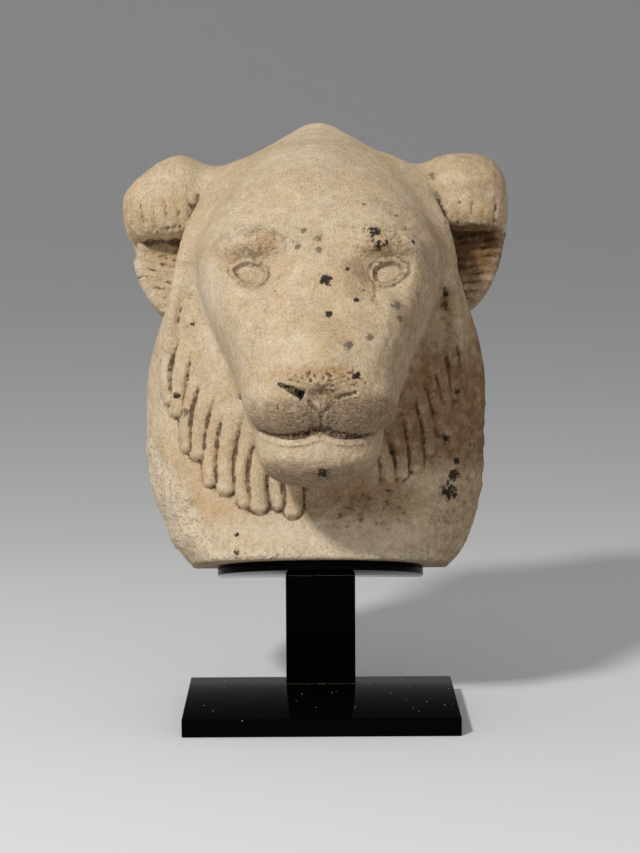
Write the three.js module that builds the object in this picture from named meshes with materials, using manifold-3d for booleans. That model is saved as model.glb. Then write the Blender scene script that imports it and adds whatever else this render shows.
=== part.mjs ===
// A sculptor's model of a lion's head, carved in limestone, on a small black display stand.
// Millimetres, +Z up. The origin is the centre of the base plate's underside, and the lion looks along -Y.

import * as THREE from "three";
import { mergeVertices } from "three/addons/utils/BufferGeometryUtils.js";
import Module from "manifold-3d";

const wasm = await Module();
wasm.setup();

// Sizes of the stand
const BASE = { width: 95.2, depth: 66, thickness: 6.4 };
const POST = { width: 25, depth: 10, front: 21, frontHeight: 45.7 };
const PLATE = { radius: 36.9, straight: 13.5, thickness: 3.2, back: 33.5 };
const EDGE_BEVEL = 0.4;
const JOINT_GAP = 0.3;
const PLATE_TILT = THREE.MathUtils.degToRad(13);

// The stone's own frame stands on the plate's slope. Its origin is the underside's back edge, a point there is
// [side, front, height], and front is the distance ahead of the flat back. A negative side is on the viewer's left.
const STONE_BACK = 35;

// The bust from the underside up: height, half width on the left and the right, front, squareness of the section
const BUST = [
  [-10, 39, 38, 57, 3],
  [0, 46, 46, 57, 3],
  [8, 52.5, 52.3, 54.5, 3],
  [18, 57, 56.5, 52, 3],
  [30, 60.6, 58.6, 51, 3],
  [45, 62.6, 59.4, 51, 3],
  [60, 62.8, 60, 51, 3.1],
  [70, 61.6, 59.6, 51, 3.5],
  [80, 58.6, 57.2, 51, 5],
  [90, 54.5, 53.5, 52, 7],
  [105, 49, 49, 54, 7],
  [120, 43.5, 43.5, 53, 6],
  [135, 36.5, 36.5, 47, 4],
  [147, 22, 22.5, 38, 3],
  [160, 10, 10, 31, 2.5],
];
const BUST_AXIS = 10;

// The face and skull: height, front, half width, where the widest line stands, squareness of the section
const SKULL = [
  [36, 96, 20, 70, 3],
  [43, 106, 23.5, 70, 3],
  [50, 115, 26, 68, 3.1],
  [58, 118, 28, 66, 3.1],
  [68, 115, 31.8, 64, 2.9],
  [78, 111, 36.2, 62, 2.8],
  [88, 107, 40, 62, 2.7],
  [98, 102.5, 42.2, 62, 2.6],
  [108, 98, 41.4, 58, 2.4],
  [118, 92.3, 38, 52, 2.25],
  [128, 83.5, 33.8, 44, 2.1],
  [138, 71, 28.5, 34, 2],
  [147, 54, 20.5, 26, 1.8],
  [153, 37, 11.5, 18, 1.6],
  [157.5, 20, 3.5, 10, 1.5],
];

// The crown's ridge: its height, how steeply it falls to the sides, and how rounded its peak is
const CROWN = { height: 159.3, fall: 0.8, rounding: 8 };

// Ellipsoids, each as a centre and its radii
const BROW = { at: [21.5, 92, 101], size: [12, 8, 4.6] };
const SOCKET = { at: [22.5, 110, 92.5], size: [12, 14, 8.5] };
const INNER_CORNER = { from: [17.5, 112, 93], to: [18.5, 117, 76], radius: 6.5 };
const WHISKER_PAD = { at: [9.2, 97.5, 51.3], size: [16.6, 20, 14.8] };
const NOSE = { at: [0.5, 104, 58], size: [13.2, 17.5, 14], underside: 51 };
const NOSE_PAD = { at: [0.5, 110, 47.5], size: [4.2, 10.5, 6] };
const CHIN = { at: [-0.8, 86, 38], size: [20.3, 20.5, 15.6], squareness: 2.7 };
const JAW = { at: [0, 66, 42], size: [21, 32, 15] };
const RUFF = { at: [0, 30, 72], size: [50, 38, 58] };

// The mouth follows the lower halves of two ellipses, drawn back into the stone along a line that rises a little,
// and the lips reach forward to a shallow curve
const MOUTH = { side: 9.2, height: 50.4, width: 16.8, drop: 14.9, front: 105, rise: 0.114 };
const LIP_FRONT = 106.4;
const LIP_CURVE = 0.0145;

// Lines cut into the muzzle: half width, how deep, and how far the cutting tool stands out of the stone
const LINE_CUT = { halfWidth: 0.8, depth: 1.5, proud: 3 };
const CLEFT = [new THREE.Vector2(0.2, 43.8), new THREE.Vector2(0, 36.5)];
const NOSTRILS = [
  [new THREE.Vector2(-12.5, 52), new THREE.Vector2(-4, 48.3)],
  [new THREE.Vector2(12.5, 51), new THREE.Vector2(5, 48.3)],
];

// The eye: its middle, its half width, how far the lids arch up and down, how far its outer end is turned up
const EYE = { side: 23.1, height: 92.1, halfWidth: 5.2, archUp: 3.5, archDown: 3.6, turn: 0.2 };
const LID = { radius: 0.9, outward: 1.05 };
const EYEBALL_DEPTH = 2.6;

// The ears, left and right: a rolled upper lobe above a ribbed hollow. The left lobe's top corner is worn off
const EARS = {
  [-1]: {
    lobeSide: 54.5,
    lobeCut: 116,
    lobeCorner: 145.5,
    shellHeight: 122,
    shellWidth: 18,
    shellDrop: 34,
    ribSlope: 0.27,
  },
  [1]: {
    lobeSide: 52,
    lobeCut: 118.5,
    lobeCorner: Infinity,
    shellHeight: 124,
    shellWidth: 17.2,
    shellDrop: 33,
    ribSlope: 0.1,
  },
};
const LOBE = { front: 28, height: 129.5, size: [15.6, 20.5, 17], squareness: 2.7 };
const EAR_NECK = { from: [20, 26, 128.5], to: [50, 29, 128.5], radius: 14.3 };
const SHELL = { side: 50, front: 33, dish: 2.5, rise: 21.5, back: 10, backSlope: 0.3 };
const CORNER_DIRECTION = [0.62, 0.78];
const SHELL_CHIP = { at: [-71, 33, 113], size: [6.5, 20, 6] };
const FLUTES = { count: 4, spacing: 4.6, halfWidth: 0.9, length: 14, first: 47, depth: 1.1 };
const RIBS = { count: 5, spacing: 3.4, halfWidth: 0.8, first: 99, length: 15, depth: 1.2 };

// The band of hair that frames the face, from the crown down to its pointed end
const BAND_LEFT = [
  [-29, 42, 135],
  [-36.5, 46.5, 126],
  [-42, 49, 116],
  [-46.3, 49.5, 105],
  [-49.5, 48, 93.7],
  [-52, 45.5, 83.2],
  [-53, 43.5, 76],
];
const BAND_RIGHT = [
  [27, 42, 137],
  [35, 47, 127],
  [40.5, 49.5, 116],
  [44.3, 50.5, 104],
  [46.6, 50.5, 92.4],
  [48, 49, 82],
  [48.5, 47, 77],
];
const BAND_RADIUS = { crown: 4.5, tip: 2.1 };

// The locks of the ruff: side and height of the root and of the tip, how far the middle bows out, half width
const LOCKS_LEFT = [
  [-51.9, 76.4, -53.1, 54.9, 4.4, 2],
  [-46.9, 75.1, -50.2, 50.4, 1.6, 2.9],
  [-42.9, 65.3, -46.7, 37.6, 3.8, 2.3],
  [-38.1, 60.3, -42.6, 34.9, 3, 3.2],
  [-34.9, 54.2, -38.3, 25.4, 2.9, 2.6],
  [-29.3, 51.8, -32.6, 22.4, 3.5, 3.5],
  [-24.7, 42.7, -26, 17.9, 4.6, 2.7],
  [-19.3, 37.5, -21.1, 16, 3.4, 3.5],
  [-15.4, 32.3, -14.4, 17.1, 1, 2.6],
  [-10, 30.1, -9.3, 14.2, -0.5, 3.3],
];
const LOCKS_RIGHT = [
  [49.4, 79.5, 48.4, 56.1, 3.9, 2],
  [45, 77.8, 47.3, 55.9, 2, 2],
  [40.2, 72.4, 44.8, 43.1, 2.8, 2.1],
  [36.6, 64.9, 42, 43.6, 2.9, 2.1],
  [33.1, 59.8, 38.2, 35.9, 2.8, 2.2],
  [29.6, 53.7, 33.4, 30.1, 2.4, 2.6],
  [24.4, 46.5, 28.4, 27.9, 3, 2.4],
  [19.6, 41, 23.7, 26.1, 2.1, 2.3],
];
const LOCK_PROUD = { left: 3.3, right: 2.1 };
const LOCK_DEPTH = 4;

const smoothMin = (a, b, blend) => {
  const near = Math.max(blend - Math.abs(a - b), 0) / blend;
  return Math.min(a, b) - (near * near * blend) / 4;
};
const smoothMax = (a, b, blend) => -smoothMin(-a, -b, blend);
const smoothStep = (low, high, value) => THREE.MathUtils.smoothstep(value, low, high);

// Stations up the stone, read at any height by a smooth curve through them
function curveThrough(stations) {
  const heights = stations.map((row) => row[0]);
  const curve = new THREE.CubicInterpolant(heights, stations.flatMap((row) => row.slice(1)), stations[0].length - 1);
  return (height) => curve.evaluate(THREE.MathUtils.clamp(height, heights[0], heights.at(-1)));
}
const bustAt = curveThrough(BUST);
const skullAt = curveThrough(SKULL);

// Keeps a division off nought
const TINY = 1e-12;

// Distance, along a level section, from a superellipse with its widest line at axis
function sectionDistance(side, front, halfWidth, reach, axis, power) {
  const ahead = Math.max(front - axis, 0);
  const wide = Math.abs(side) / halfWidth;
  const size = (wide ** power + (ahead / (reach - axis)) ** power + TINY) ** (1 / power);
  return Math.hypot(side, ahead) * (1 - 1 / size);
}

function ellipsoid(side, front, height, { at, size }) {
  const p = [side - at[0], front - at[1], height - at[2]];
  const scaled = Math.hypot(p[0] / size[0], p[1] / size[1], p[2] / size[2]);
  const slope = Math.hypot(p[0] / size[0] ** 2, p[1] / size[1] ** 2, p[2] / size[2] ** 2);
  return slope < TINY ? -Math.min(...size) : (scaled * (scaled - 1)) / slope;
}

// A superellipsoid: an ellipsoid swollen towards its corners
function roundedBlock(side, front, height, { at, size, squareness }) {
  const p = [side - at[0], front - at[1], height - at[2]];
  const scaled = p.reduce((sum, v, i) => sum + Math.abs(v / size[i]) ** squareness, TINY);
  return Math.hypot(...p) * (1 - scaled ** (-1 / squareness));
}

// Distance from a line that tapers from one radius to another
function taperedLine(p, from, to, startRadius, endRadius) {
  const dot = (a, b) => a[0] * b[0] + a[1] * b[1] + a[2] * b[2];
  const along = to.map((v, i) => v - from[i]);
  const offset = p.map((v, i) => v - from[i]);
  const share = THREE.MathUtils.clamp(dot(offset, along) / dot(along, along), 0, 1);
  const radius = startRadius + (endRadius - startRadius) * share;
  return Math.hypot(...offset.map((v, i) => v - along[i] * share)) - radius;
}

function bandOfHair(p, points) {
  const radiusAt = (i) => THREE.MathUtils.lerp(BAND_RADIUS.crown, BAND_RADIUS.tip, i / (points.length - 1));
  let nearest = Infinity;
  for (let i = 1; i < points.length; i += 1) {
    nearest = Math.min(nearest, taperedLine(p, points[i - 1], points[i], radiusAt(i - 1), radiusAt(i)));
  }
  return nearest;
}

function bust(side, front, height) {
  const [left, right, reach, power] = bustAt(height);
  return sectionDistance(side, front, side < 0 ? left : right, reach, BUST_AXIS, power);
}

// How far outside the mouth line a point is seen
function mouthDistance(x, front, height) {
  const above = height + MOUTH.rise * (front - MOUTH.front) - MOUTH.height;
  const size = Math.hypot((Math.abs(x) - MOUTH.side) / MOUTH.width, Math.min(above, 0) / MOUTH.drop);
  return (size - 1) * MOUTH.drop - 2 * Math.max(above, 0);
}

// Skull, muzzle, nose, chin and jaw
function head(x, front, height) {
  const side = Math.abs(x);
  const [reach, halfWidth, axis, power] = skullAt(height);
  const skull = sectionDistance(x, front, halfWidth, reach, axis, power);
  let form = smoothMax(skull, mouthDistance(x, front, height), 2);
  form = smoothMin(form, ellipsoid(side, front, height, BROW), 6);
  form = smoothMax(form, -ellipsoid(side, front, height, SOCKET), 7);
  const { from, to, radius } = INNER_CORNER;
  form = smoothMax(form, -taperedLine([side, front, height], from, to, radius, radius), 5);
  form = smoothMin(form, ellipsoid(side, front, height, WHISKER_PAD), 3);
  const nose = smoothMax(ellipsoid(x, front, height, NOSE), NOSE.underside - height, 2);
  form = smoothMin(form, nose, 4);
  form = smoothMin(form, ellipsoid(x, front, height, NOSE_PAD), 0.8);
  const chin = smoothMin(roundedBlock(x, front, height, CHIN), ellipsoid(x, front, height, JAW), 8);
  return smoothMin(form, chin, 1.5);
}

function bustAndRuff(x, front, height) {
  return smoothMin(bust(x, front, height), ellipsoid(x, front, height, RUFF), 5);
}

// The carved stone without its ears, locks and eyes: negative inside, and near a distance close to the surface
function stoneForm(x, front, height) {
  let form = bustAndRuff(x, front, height);
  form = smoothMin(form, bandOfHair([x, front, height], x < 0 ? BAND_LEFT : BAND_RIGHT), 3);
  form = smoothMin(form, head(x, front, height), 2.5 + 13 * smoothStep(82, 118, height));
  const crown = CROWN.height - Math.hypot(CROWN.rounding, CROWN.fall * x) + CROWN.rounding;
  return smoothMax(form, height - crown, 3);
}

// The rolled lobe of an ear, with the neck that joins it to the crown
function lobeForm(sign) {
  const { lobeSide, lobeCut, lobeCorner } = EARS[sign];
  return (x, front, height) => {
    const side = x * sign;
    const lobe = roundedBlock(side, front, height, { ...LOBE, at: [lobeSide, LOBE.front, LOBE.height] });
    const neck = taperedLine([side, front, height], EAR_NECK.from, EAR_NECK.to, EAR_NECK.radius, EAR_NECK.radius);
    const rolled = smoothMax(smoothMin(lobe, neck, 7), lobeCut - height, 1.2);
    return Math.max(rolled, CORNER_DIRECTION[0] * side + CORNER_DIRECTION[1] * height - lobeCorner);
  };
}

// The upright shell of an ear, slightly dished in front
function shellForm(sign) {
  const { shellHeight, shellWidth, shellDrop } = EARS[sign];
  return (x, front, height) => {
    const side = x * sign;
    const across = (side - SHELL.side) / shellWidth;
    const reach = height > shellHeight ? SHELL.rise : shellDrop;
    const up = (height - shellHeight) / reach;
    const size = Math.hypot(across, up) + 1e-6;
    const rim = (size * (size - 1)) / Math.hypot(across / shellWidth, up / reach, 1e-6);
    const face = front - SHELL.front + SHELL.dish * Math.max(1 - size, 0);
    const back = SHELL.back + SHELL.backSlope * (side - SHELL.side + 5) - front;
    return smoothMax(smoothMax(smoothMax(rim, face, 1), back, 3), -ellipsoid(x, front, height, SHELL_CHIP), 0.8);
  };
}

// How far along a ray, from a point inside, a form ends
const FARTHEST = 150;
const MARCH_STEP = 1.5;
const HALVINGS = 12;
function surfaceAlong(form, from, ray, farthest = FARTHEST) {
  const at = (t) => form(from[0] + ray[0] * t, from[1] + ray[1] * t, from[2] + ray[2] * t);
  let outside = farthest;
  while (outside > MARCH_STEP && at(outside - MARCH_STEP) > 0) outside -= MARCH_STEP;
  let inside = outside - MARCH_STEP;
  for (let i = 0; i < HALVINGS; i += 1) {
    const middle = (inside + outside) / 2;
    if (at(middle) > 0) outside = middle;
    else inside = middle;
  }
  return (inside + outside) / 2;
}

// A sphere geometry with its shared vertices merged
function plainSphere(around, rings) {
  const sphere = new THREE.SphereGeometry(1, around, rings);
  sphere.deleteAttribute("normal");
  sphere.deleteAttribute("uv");
  return mergeVertices(sphere);
}

// From the stone's frame to three.js axes: front is -Y
const inModel = ([side, front, height]) => [side, -front, height];

function moveVertices(geometry, place) {
  const vertices = geometry.getAttribute("position");
  for (let i = 0; i < vertices.count; i += 1) {
    vertices.setXYZ(i, ...place([vertices.getX(i), vertices.getY(i), vertices.getZ(i)]));
  }
  return geometry;
}

// A sphere whose vertices are moved out, along rays from a centre inside, to where a form ends.
// Its poles lie ahead and behind, and a crowding above 0 puts more of its rings round the front pole.
function carvedSphere(form, centre, around, rings, crowding = 0) {
  return moveVertices(plainSphere(around, rings), ([x, y, z]) => {
    const share = Math.acos(THREE.MathUtils.clamp(y, -1, 1)) / Math.PI;
    const turn = Math.PI * ((1 - crowding) * share + crowding * share * share);
    const across = Math.atan2(z, -x);
    const ray = [Math.sin(turn) * Math.cos(across), Math.cos(turn), Math.sin(turn) * Math.sin(across)];
    const reach = surfaceAlong(form, centre, ray);
    return inModel(centre.map((v, i) => v + ray[i] * reach));
  });
}

// Closed three.js geometry to a manifold solid and back
const MERGE_DISTANCE = 1e-4;
function solidOf(geometry) {
  const plain = geometry.clone();
  plain.deleteAttribute("normal");
  plain.deleteAttribute("uv");
  const merged = mergeVertices(plain, MERGE_DISTANCE);
  const vertProperties = merged.getAttribute("position").array;
  const triVerts = new Uint32Array(merged.index.array);
  return new wasm.Manifold(new wasm.Mesh({ numProp: 3, vertProperties, triVerts }));
}

function geometryOf(solid) {
  const mesh = solid.getMesh();
  const geometry = new THREE.BufferGeometry();
  geometry.setAttribute("position", new THREE.BufferAttribute(mesh.vertProperties, 3));
  geometry.setIndex(new THREE.BufferAttribute(mesh.triVerts, 1));
  geometry.computeVertexNormals();
  return geometry;
}

// How far forward a form reaches at a side and height
function frontOf(side, height, form = stoneForm) {
  return surfaceAlong(form, [side, 0, height], [0, 1, 0]);
}

// A finger drawn out along a path on the stone: a sphere, proud of the surface and sunk into it
function fingerGeometry(path, halfWidth, frontAt, proudAt, depth, rings = 7) {
  return moveVertices(plainSphere(7, rings), ([x, y, z]) => {
    const share = Math.acos(THREE.MathUtils.clamp(y, -1, 1)) / Math.PI;
    const fullness = Math.sqrt(1 - Math.abs(2 * share - 1) ** 5);
    const ring = Math.hypot(x, z) || 1;
    const at = path.getPoint(share);
    const along = path.getTangent(share);
    const across = (x / ring) * halfWidth * fullness;
    const front = frontAt(at.x, at.y) + (z / ring) * fullness * (z > 0 ? proudAt(share) : depth);
    return inModel([at.x - along.y * across, front, at.y + along.x * across]);
  });
}

// One lock of the ruff
function lockGeometry([rootSide, rootHeight, tipSide, tipHeight, bow, halfWidth]) {
  const root = new THREE.Vector2(rootSide, rootHeight);
  const tip = new THREE.Vector2(tipSide, tipHeight);
  const middle = root.clone().add(tip).multiplyScalar(0.5);
  middle.x += Math.sign(tipSide) * bow;
  const path = new THREE.QuadraticBezierCurve(root, middle, tip);
  const proud = tipSide < 0 ? LOCK_PROUD.left : LOCK_PROUD.right;
  const proudAt = (share) => proud * smoothStep(-0.05, 0.4, share);
  const frontAt = (side, height) => frontOf(side, height, bustAndRuff);
  return fingerGeometry(path, halfWidth, frontAt, proudAt, LOCK_DEPTH);
}

// The mouth line, the cleft above it and the nostrils, as the shapes that cut them
function muzzleLines() {
  const corner = Math.PI * 0.06;
  const turn = Math.acos(MOUTH.side / MOUTH.width);
  const left = new THREE.EllipseCurve(-MOUTH.side, MOUTH.height, MOUTH.width, MOUTH.drop, Math.PI + corner, -turn);
  const right = new THREE.EllipseCurve(MOUTH.side, MOUTH.height, MOUTH.width, MOUTH.drop, Math.PI + turn, -corner);
  const lines = [CLEFT, ...NOSTRILS].map(([from, to]) => new THREE.LineCurve(from, to));
  const { halfWidth, depth, proud } = LINE_CUT;
  const lipFront = (side) => LIP_FRONT - LIP_CURVE * side * side;
  return [
    ...[left, right].map((path) => fingerGeometry(path, halfWidth, lipFront, () => proud, depth, 9)),
    ...lines.map((path) => fingerGeometry(path, halfWidth, frontOf, () => proud, depth, 5)),
  ];
}

function box(width, depth, height, x, y, z) {
  return new THREE.BoxGeometry(width, depth, height).translate(x, y, z);
}

// The outline of an eye, as a closed almond that turns its outer end up
function eyeOutline(sign, share, grow = 0) {
  const angle = share * 2 * Math.PI;
  const across = Math.cos(angle) * (EYE.halfWidth + grow);
  const arch = Math.sin(angle) > 0 ? EYE.archUp : EYE.archDown;
  const up = Math.sin(angle) * Math.abs(Math.sin(angle)) ** 0.25 * (arch + grow) + across * EYE.turn;
  return [sign * (EYE.side + across), EYE.height + up];
}

// The raised rim of the lids, a ring drawn round the almond
function lidGeometry(sign) {
  return moveVertices(new THREE.TorusGeometry(1, 0.5, 4, 16), ([x, y, z]) => {
    const share = Math.atan2(y, x * sign) / (2 * Math.PI);
    const outward = LID.outward + (Math.hypot(x, y) - 1) * 2 * LID.radius;
    const [side, height] = eyeOutline(sign, share, outward);
    const [middleSide, middleHeight] = eyeOutline(sign, share, LID.outward);
    return inModel([side, frontOf(middleSide, middleHeight) + z * 2 * LID.radius, height]);
  });
}

function eyeballGeometry(sign) {
  return moveVertices(plainSphere(10, 6), ([x, y, z]) => {
    const side = sign * EYE.side + x * EYE.halfWidth * 0.9;
    const height = EYE.height + z * EYE.archUp * 0.95;
    return inModel([side, frontOf(sign * EYE.side, EYE.height) - EYEBALL_DEPTH * (0.7 + y), height]);
  });
}

function earSolid(sign) {
  const ear = EARS[sign];
  const lobeCentre = [sign * (ear.lobeSide - 8), LOBE.front, LOBE.height + 2];
  const shellCentre = [sign * SHELL.side, SHELL.front - 8, ear.shellHeight];
  let lobe = solidOf(carvedSphere(lobeForm(sign), lobeCentre, 18, 14));
  let shell = solidOf(carvedSphere(shellForm(sign), shellCentre, 18, 9));
  const cut = (path, form, halfWidth, depth) => {
    const frontAt = (side, height) => LOBE.front + surfaceAlong(form, [side, LOBE.front, height], [0, 1, 0], 40);
    return solidOf(fingerGeometry(path, halfWidth, frontAt, () => LINE_CUT.proud, depth, 5));
  };
  for (let i = 0; i < FLUTES.count; i += 1) {
    const side = FLUTES.first + i * FLUTES.spacing;
    const top = new THREE.Vector2(sign * side, ear.lobeCut + FLUTES.length);
    const foot = new THREE.Vector2(sign * (side + 1), ear.lobeCut - 2);
    const flute = new THREE.LineCurve(top, foot);
    lobe = lobe.subtract(cut(flute, lobeForm(sign), FLUTES.halfWidth, FLUTES.depth));
  }
  for (let i = 0; i < RIBS.count; i += 1) {
    const height = RIBS.first + i * RIBS.spacing;
    const inner = new THREE.Vector2(sign * (SHELL.side + 1), height);
    const outer = new THREE.Vector2(sign * (SHELL.side + RIBS.length), height + RIBS.length * ear.ribSlope);
    shell = shell.subtract(cut(new THREE.LineCurve(inner, outer), shellForm(sign), RIBS.halfWidth, RIBS.depth));
  }
  return lobe.add(shell);
}

// The outer skin alone, without any hollow shut in between joined pieces
function withoutHollows(solid) {
  return solid.decompose().reduce((largest, piece) => (piece.volume() > largest.volume() ? piece : largest));
}

// The carved stone, and the boxes behind and beneath it that cut its flat back and underside
const STONE_MIDDLE = [0, 5, 72];
const STONE_MESH = { around: 60, rings: 38, crowding: 0.32 };
function stoneSolid() {
  const { around, rings, crowding } = STONE_MESH;
  let stone = solidOf(carvedSphere(stoneForm, STONE_MIDDLE, around, rings, crowding));
  for (const lock of [...LOCKS_LEFT, ...LOCKS_RIGHT]) stone = stone.add(solidOf(lockGeometry(lock)));
  for (const line of muzzleLines()) stone = stone.subtract(solidOf(line));
  for (const sign of [-1, 1]) {
    stone = stone.add(earSolid(sign));
    stone = stone.add(solidOf(lidGeometry(sign)));
    stone = stone.add(solidOf(eyeballGeometry(sign)));
  }
  const behind = box(300, 100, 300, 0, 50, 80);
  const beneath = box(300, 300, 100, 0, -60, -50);
  return withoutHollows(stone.subtract(solidOf(behind)).subtract(solidOf(beneath)));
}

const limestone = new THREE.MeshStandardMaterial({ color: 0xc9b291, roughness: 0.9, metalness: 0 });
const blackAcrylic = new THREE.MeshStandardMaterial({ color: 0x0b0b0c, roughness: 0.12, metalness: 0 });

function named(name, geometry, material) {
  const mesh = new THREE.Mesh(geometry, material);
  mesh.name = name;
  return mesh;
}

function bevelledPlate(shape, thickness) {
  const inner = thickness - 2 * EDGE_BEVEL;
  const edge = { bevelThickness: EDGE_BEVEL, bevelSize: EDGE_BEVEL, bevelOffset: -EDGE_BEVEL, bevelSegments: 1 };
  return new THREE.ExtrudeGeometry(shape, { depth: inner, curveSegments: 16, ...edge }).translate(0, 0, EDGE_BEVEL);
}

function rectangle(width, depth) {
  return new THREE.Shape()
    .moveTo(-width / 2, -depth / 2)
    .lineTo(width / 2, -depth / 2)
    .lineTo(width / 2, depth / 2)
    .lineTo(-width / 2, depth / 2)
    .closePath();
}

// Half a disc towards the viewer, with a short straight stretch behind it
function plateOutline() {
  return new THREE.Shape()
    .moveTo(-PLATE.radius, PLATE.straight)
    .lineTo(-PLATE.radius, 0)
    .absarc(0, 0, PLATE.radius, Math.PI, 2 * Math.PI, false)
    .lineTo(PLATE.radius, PLATE.straight)
    .closePath();
}

// The post, drawn from its side with its top cut to the plate's slope, and as thick as the post is wide
function postGeometry() {
  const bottom = BASE.thickness + JOINT_GAP;
  const back = POST.front + POST.depth;
  const side = new THREE.Shape()
    .moveTo(POST.front, bottom)
    .lineTo(back, bottom)
    .lineTo(back, POST.frontHeight - POST.depth * Math.tan(PLATE_TILT))
    .lineTo(POST.front, POST.frontHeight)
    .closePath();
  const post = new THREE.ExtrudeGeometry(side, { depth: POST.width, bevelEnabled: false });
  return post.translate(0, 0, -POST.width / 2).rotateX(Math.PI / 2).rotateZ(Math.PI / 2);
}

const lionHead = new THREE.Group();
const base = bevelledPlate(rectangle(BASE.width, BASE.depth), BASE.thickness);
lionHead.add(named("base_plate", base, blackAcrylic));
lionHead.add(named("post", postGeometry(), blackAcrylic));

// Everything above the post leans back with the plate
const slope = new THREE.Group();
slope.position.set(0, STONE_BACK, POST.frontHeight - (STONE_BACK - POST.front) * Math.tan(PLATE_TILT));
slope.rotation.x = -PLATE_TILT;
const plate = named("cradle_plate", bevelledPlate(plateOutline(), PLATE.thickness), blackAcrylic);
plate.position.set(0, PLATE.back - STONE_BACK - PLATE.straight, JOINT_GAP);
const stone = named("lion_head", geometryOf(stoneSolid()), limestone);
stone.position.z = 2 * JOINT_GAP + PLATE.thickness;
slope.add(plate, stone);
lionHead.add(slope);

export default lionHead;
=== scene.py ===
"""A limestone sculptor's model of a lion's head on its black display stand.

The stone's own frame, in millimetres, is used for all carving. It stands on the tilted plate: side runs to
the viewer's right, front is the distance ahead of the flat back, height runs up the back.
"""
import math

import bmesh
import bpy
import numpy as np
from bpy.props import FloatProperty, FloatVectorProperty, PointerProperty
from mathutils import Matrix, Vector, noise


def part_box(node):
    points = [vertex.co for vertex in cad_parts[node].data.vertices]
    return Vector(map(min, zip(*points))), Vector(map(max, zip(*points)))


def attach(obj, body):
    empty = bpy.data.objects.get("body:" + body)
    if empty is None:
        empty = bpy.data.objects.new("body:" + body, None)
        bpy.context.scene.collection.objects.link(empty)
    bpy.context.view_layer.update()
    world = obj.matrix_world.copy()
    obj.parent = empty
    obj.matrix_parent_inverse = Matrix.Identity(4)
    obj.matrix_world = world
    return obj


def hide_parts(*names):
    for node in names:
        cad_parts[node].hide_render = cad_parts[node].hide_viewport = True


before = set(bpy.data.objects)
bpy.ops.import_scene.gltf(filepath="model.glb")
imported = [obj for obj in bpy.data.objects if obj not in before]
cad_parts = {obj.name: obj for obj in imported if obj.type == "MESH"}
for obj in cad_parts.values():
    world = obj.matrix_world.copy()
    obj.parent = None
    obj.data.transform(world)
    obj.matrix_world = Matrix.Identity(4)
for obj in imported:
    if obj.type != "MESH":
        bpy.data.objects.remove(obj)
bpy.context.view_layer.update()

bl_info = {
    "name": "Lion head sculptor model",
    "version": (1, 0, 0),
    "blender": (4, 5, 0),
    "location": "3D View > Sidebar > Lion head",
    "description": "Carves a limestone lion head and sets it on its black display stand",
    "category": "Add Mesh",
}

MM = 0.001
PLATE_TILT = math.radians(13)

# The stone's frame in the world, from the post that the sloping plate stands on
POST_LOW, POST_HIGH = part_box("post")
JOINT_GAP = 0.3 * MM
PLATE_THICKNESS = 3.2 * MM
STONE_BACK = 35 * MM
SLOPE_FOOT = Vector((0, STONE_BACK, POST_HIGH.z - (STONE_BACK - POST_LOW.y) * math.tan(PLATE_TILT)))
SLOPE = Matrix.Rotation(-PLATE_TILT, 4, "X")
STONE_REST = Vector((0, 0, 2 * JOINT_GAP + PLATE_THICKNESS))
STONE_FRAME = Matrix.Translation(SLOPE_FOOT) @ SLOPE @ Matrix.Translation(STONE_REST)

# The plate's outline on the slope, and the marks on the base: dust specks, and old glue at the post's foot
PLATE_RADIUS, PLATE_STRAIGHT, PLATE_BACK = 36.9 * MM, 13.5 * MM, -1.5 * MM
PLATE_SEGMENTS = 128
SHARP_ANGLE = math.radians(20)
SPECK_SPACING, SPECK_SIZE, SPECK_SHARE = 3.5 * MM, 0.055, 0.6
GLUE_REACH, GLUE_DASH = 0.35 * MM, 0.9 * MM
DUST_COLOUR, GLUE_COLOUR = "#e4e2de", "#8d7a58"

# The bust from the underside up: height, half width on the left and the right, front, squareness
BUST = [
    (-10, 39, 38, 57, 3), (0, 46, 46, 57, 3), (8, 52.5, 52.3, 54.5, 3), (18, 57, 56.5, 52, 3),
    (30, 60.6, 58.6, 51, 3), (45, 62.6, 59.4, 51, 3), (60, 62.8, 60, 51, 3.1), (70, 61.6, 59.6, 51, 3.5),
    (80, 58.6, 57.2, 51, 5), (90, 54.5, 53.5, 52, 7), (105, 49, 49, 54, 7), (120, 43.5, 43.5, 53, 6),
    (135, 36.5, 36.5, 47, 4), (147, 22, 22.5, 38, 3), (160, 10, 10, 31, 2.5),
]
BUST_AXIS = 10

# The face and skull: height, front, half width, where the widest line stands, squareness
SKULL = [
    (36, 96, 20, 70, 3), (43, 106, 23.5, 70, 3), (50, 115, 26, 68, 3.1), (58, 118, 28, 66, 3.1),
    (68, 115, 31.8, 64, 2.9), (78, 111, 36.2, 62, 2.8), (88, 107, 40, 62, 2.7), (98, 102.5, 42.2, 62, 2.6),
    (108, 98, 41.4, 58, 2.4), (118, 92.3, 38, 52, 2.25), (128, 83.5, 33.8, 44, 2.1), (138, 71, 28.5, 34, 2),
    (147, 54, 20.5, 26, 1.8), (153, 37, 11.5, 18, 1.6), (157.5, 20, 3.5, 10, 1.5),
]
CROWN_HEIGHT, CROWN_FALL, CROWN_ROUNDING = 159.3, 0.8, 8

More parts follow.
